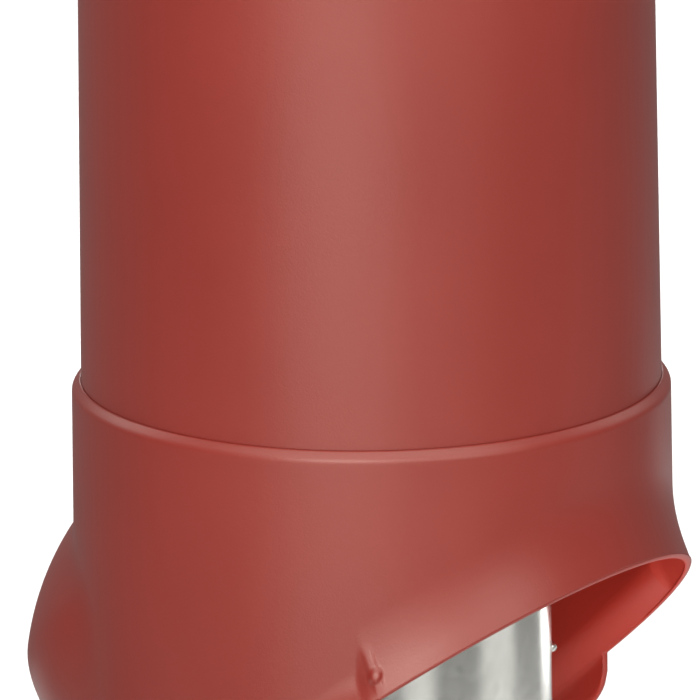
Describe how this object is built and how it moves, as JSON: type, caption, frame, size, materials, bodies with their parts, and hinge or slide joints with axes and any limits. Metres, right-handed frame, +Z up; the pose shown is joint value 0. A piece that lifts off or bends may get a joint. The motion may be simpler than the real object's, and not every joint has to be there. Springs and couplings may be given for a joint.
{
  "type": "roof vent pipe",
  "caption": "Upright roof vent pipe: red plastic shell over a steel duct, with a sleeve skirt cut and flared to a sloped roof and domed on its downhill side.",
  "frame": {"origin": "on the plane that the duct's lower end stands on, under the middle of the outline; the pipe's axis is 8.7 mm uphill of it", "axes": "+Z up along the pipe, +X uphill along the roof, +Y to the left when looking uphill"},
  "size_m": [0.2436, 0.2262, 0.75],
  "materials": {
    "red_plastic": "fine matt moulded texture, brick red",
    "galvanised_steel": "smooth galvanised sheet with a faint spangle"
  },
  "bodies": {
    "root": {"outer_shell": "red_plastic", "skirt": "red_plastic", "base_ring": "red_plastic", "inner_duct": "galvanised_steel"}
  },
  "joints": []
}
